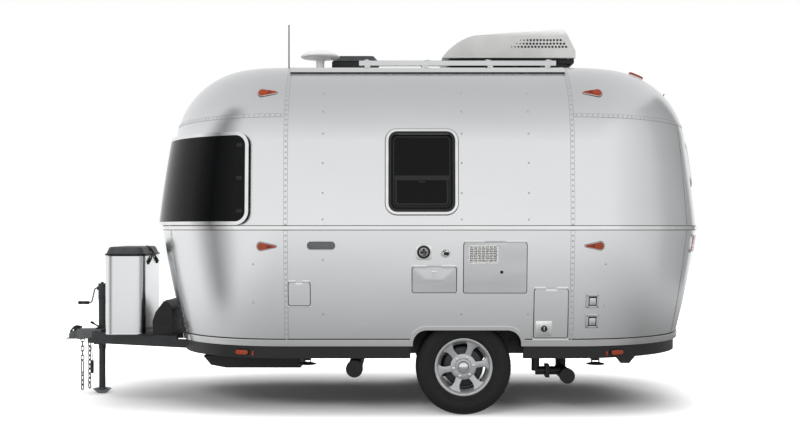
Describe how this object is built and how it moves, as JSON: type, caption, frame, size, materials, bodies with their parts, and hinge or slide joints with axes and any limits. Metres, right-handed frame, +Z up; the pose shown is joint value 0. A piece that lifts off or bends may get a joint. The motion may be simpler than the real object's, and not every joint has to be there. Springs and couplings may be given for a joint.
{
  "type": "riveted aluminium travel caravan",
  "caption": "Riveted aluminium travel caravan with a rounded body, torsion axle, A-frame drawbar, jack, entrance door, service hatches and roof equipment.",
  "frame": {"origin": "on the ground, at the middle of the overall length and width", "axes": "+X from the hitch to the tail, +Y to the entrance (kerb) side, +Z up"},
  "size_m": [4.941, 2.44, 2.868],
  "materials": {
    "bright_aluminium": "satin bright skin",
    "satin_aluminium": "satin",
    "polished_trim": "polished",
    "tinted_glass": "dark tint",
    "frame_paint": "satin",
    "coupler_paint": "satin grey",
    "black_plastic": "matte",
    "zinc_steel": "zinc plated",
    "black_metal": "satin",
    "white_paint": "gloss",
    "sill_paint": "satin dark grey",
    "white_plastic": "satin off-white",
    "panel_frame": "anodised",
    "amber_lens": "lens",
    "tyre": "matte",
    "wheel_alloy": "polished face",
    "lid_plastic": "satin dark grey",
    "smoked_plastic": "smoked"
  },
  "bodies": {
    "caravan": {"shell_front": "bright_aluminium", "shell_middle": "bright_aluminium", "shell_rear": "bright_aluminium", "window_frames": "satin_aluminium", "window_glass": "tinted_glass", "window_guard_frame": "polished_trim", "window_guard_pane": "tinted_glass", "hinge_leaves": "polished_trim", "mouldings": "polished_trim", "chassis_frame": "frame_paint", "coupler": "coupler_paint", "coupler_latch": "black_plastic", "safety_chains": "zinc_steel", "jack_tube": "black_metal", "gas_cover": "satin_aluminium", "gas_cylinders": "white_paint", "battery_box": "black_plastic", "floor": "sill_paint", "wheel_wells": "black_plastic", "axle": "frame_paint", "belly_pan": "black_plastic", "waste_plumbing": "black_plastic", "under_brackets": "black_metal", "air_conditioner": "white_plastic", "air_conditioner_base": "black_plastic", "roof_vent_curb": "black_plastic", "solar_panel": "panel_frame", "antennas": "white_plastic", "lamps": "amber_lens", "side_fittings": "satin_aluminium"},
    "wheel_left": {"tyre_left": "tyre", "wheel_left": "wheel_alloy"},
    "wheel_right": {"tyre_right": "tyre", "wheel_right": "wheel_alloy"},
    "entrance_door": {"entrance_door": "bright_aluminium", "door_window_frame": "satin_aluminium", "door_glass": "tinted_glass"},
    "small_hatch": {"small_hatch": "bright_aluminium"},
    "storage_hatch": {"storage_hatch": "bright_aluminium"},
    "appliance_door": {"appliance_door": "bright_aluminium"},
    "utility_hatch": {"utility_hatch": "bright_aluminium"},
    "gas_lid": {"gas_lid": "lid_plastic"},
    "jack_leg": {"jack_leg": "zinc_steel"},
    "jack_crank": {"jack_crank": "black_metal"},
    "roof_vent_lid": {"roof_vent_lid": "smoked_plastic"},
    "stabiliser_front_left": {"stabiliser_front_left": "black_metal"},
    "stabiliser_pad_front_left": {"stabiliser_pad_front_left": "black_metal"},
    "stabiliser_front_right": {"stabiliser_front_right": "black_metal"},
    "stabiliser_pad_front_right": {"stabiliser_pad_front_right": "black_metal"},
    "stabiliser_rear_left": {"stabiliser_rear_left": "black_metal"},
    "stabiliser_pad_rear_left": {"stabiliser_pad_rear_left": "black_metal"},
    "stabiliser_rear_right": {"stabiliser_rear_right": "black_metal"},
    "stabiliser_pad_rear_right": {"stabiliser_pad_rear_right": "black_metal"},
    "step_arms": {"step_arms": "black_metal"},
    "step_tread": {"step_tread": "black_metal"}
  },
  "joints": [
    {"name": "wheel_left_spin", "type": "hinge", "parent": "caravan", "child": "wheel_left", "pos_m": [0.621, -0.9625, 0.334], "axis": [0, 1, 0], "continuous": true},
    {"name": "wheel_right_spin", "type": "hinge", "parent": "caravan", "child": "wheel_right", "pos_m": [0.621, 0.9625, 0.334], "axis": [0, 1, 0], "continuous": true},
    {"name": "entrance_door_swing", "type": "hinge", "parent": "caravan", "child": "entrance_door", "pos_m": [-0.452, 1.213, 1.305], "axis": [0, 0, 1], "range_deg": [0, 140]},
    {"name": "small_hatch_swing", "type": "hinge", "parent": "caravan", "child": "small_hatch", "pos_m": [-0.513, -1.17712, 0.935], "axis": [-1, 0, 0], "range_deg": [0, 95]},
    {"name": "storage_hatch_swing", "type": "hinge", "parent": "caravan", "child": "storage_hatch", "pos_m": [0.413, -1.18884, 1.041], "axis": [-1, 0, 0], "range_deg": [0, 95]},
    {"name": "appliance_door_swing", "type": "hinge", "parent": "caravan", "child": "appliance_door", "pos_m": [0.83, -1.20496, 1.208], "axis": [-1, 0, 0], "range_deg": [0, 95]},
    {"name": "utility_hatch_swing", "type": "hinge", "parent": "caravan", "child": "utility_hatch", "pos_m": [1.216, -1.1718, 0.89], "axis": [-1, 0, 0], "range_deg": [0, 95]},
    {"name": "gas_lid_swing", "type": "hinge", "parent": "caravan", "child": "gas_lid", "pos_m": [-2.095, 0, 1.0881], "axis": [0, -1, 0], "range_deg": [0, 80]},
    {"name": "jack_leg_slide", "type": "slide", "parent": "caravan", "child": "jack_leg", "axis": [0, 0, 1], "range_m": [-0.08, 0.29]},
    {"name": "jack_crank_spin", "type": "hinge", "parent": "caravan", "child": "jack_crank", "pos_m": [-2.2085, 0, 0.828], "axis": [1, 0, 0], "continuous": true},
    {"name": "roof_vent_lid_swing", "type": "hinge", "parent": "caravan", "child": "roof_vent_lid", "pos_m": [-0.17, 0.1865, 2.6], "axis": [-1, 0, 0], "range_deg": [0, 75]},
    {"name": "stabiliser_front_left_swing", "type": "hinge", "parent": "caravan", "child": "stabiliser_front_left", "pos_m": [-0.473, -0.72, 0.388], "axis": [1, 0, 0], "range_deg": [0, 90]},
    {"name": "stabiliser_pad_front_left_level", "type": "hinge", "parent": "stabiliser_front_left", "child": "stabiliser_pad_front_left", "pos_m": [-0.473, -1, 0.388], "axis": [1, 0, 0], "range_deg": [-90, 0]},
    {"name": "stabiliser_front_right_swing", "type": "hinge", "parent": "caravan", "child": "stabiliser_front_right", "pos_m": [-0.473, 0.72, 0.388], "axis": [-1, 0, 0], "range_deg": [0, 90]},
    {"name": "stabiliser_pad_front_right_level", "type": "hinge", "parent": "stabiliser_front_right", "child": "stabiliser_pad_front_right", "pos_m": [-0.473, 1, 0.388], "axis": [-1, 0, 0], "range_deg": [-90, 0]},
    {"name": "stabiliser_rear_left_swing", "type": "hinge", "parent": "caravan", "child": "stabiliser_rear_left", "pos_m": [1.546, -0.72, 0.388], "axis": [1, 0, 0], "range_deg": [0, 90]},
    {"name": "stabiliser_pad_rear_left_level", "type": "hinge", "parent": "stabiliser_rear_left", "child": "stabiliser_pad_rear_left", "pos_m": [1.546, -1, 0.388], "axis": [1, 0, 0], "range_deg": [-90, 0]},
    {"name": "stabiliser_rear_right_swing", "type": "hinge", "parent": "caravan", "child": "stabiliser_rear_right", "pos_m": [1.546, 0.72, 0.388], "axis": [-1, 0, 0], "range_deg": [0, 90]},
    {"name": "stabiliser_pad_rear_right_level", "type": "hinge", "parent": "stabiliser_rear_right", "child": "stabiliser_pad_rear_right", "pos_m": [1.546, 1, 0.388], "axis": [-1, 0, 0], "range_deg": [-90, 0]},
    {"name": "step_swing", "type": "hinge", "parent": "caravan", "child": "step_arms", "pos_m": [-0.132, 1, 0.402], "axis": [1, 0, 0], "range_deg": [0, 140]},
    {"name": "step_tread_level", "type": "hinge", "parent": "step_arms", "child": "step_tread", "pos_m": [-0.132, 0.825, 0.402], "axis": [1, 0, 0], "range_deg": [-140, 0]}
  ],
  "couplings": [
    {"joint": "stabiliser_pad_front_left_level", "follows": "stabiliser_front_left_swing", "ratio": -1},
    {"joint": "stabiliser_pad_front_right_level", "follows": "stabiliser_front_right_swing", "ratio": -1},
    {"joint": "stabiliser_pad_rear_left_level", "follows": "stabiliser_rear_left_swing", "ratio": -1},
    {"joint": "stabiliser_pad_rear_right_level", "follows": "stabiliser_rear_right_swing", "ratio": -1},
    {"joint": "step_tread_level", "follows": "step_swing", "ratio": -1}
  ]
}
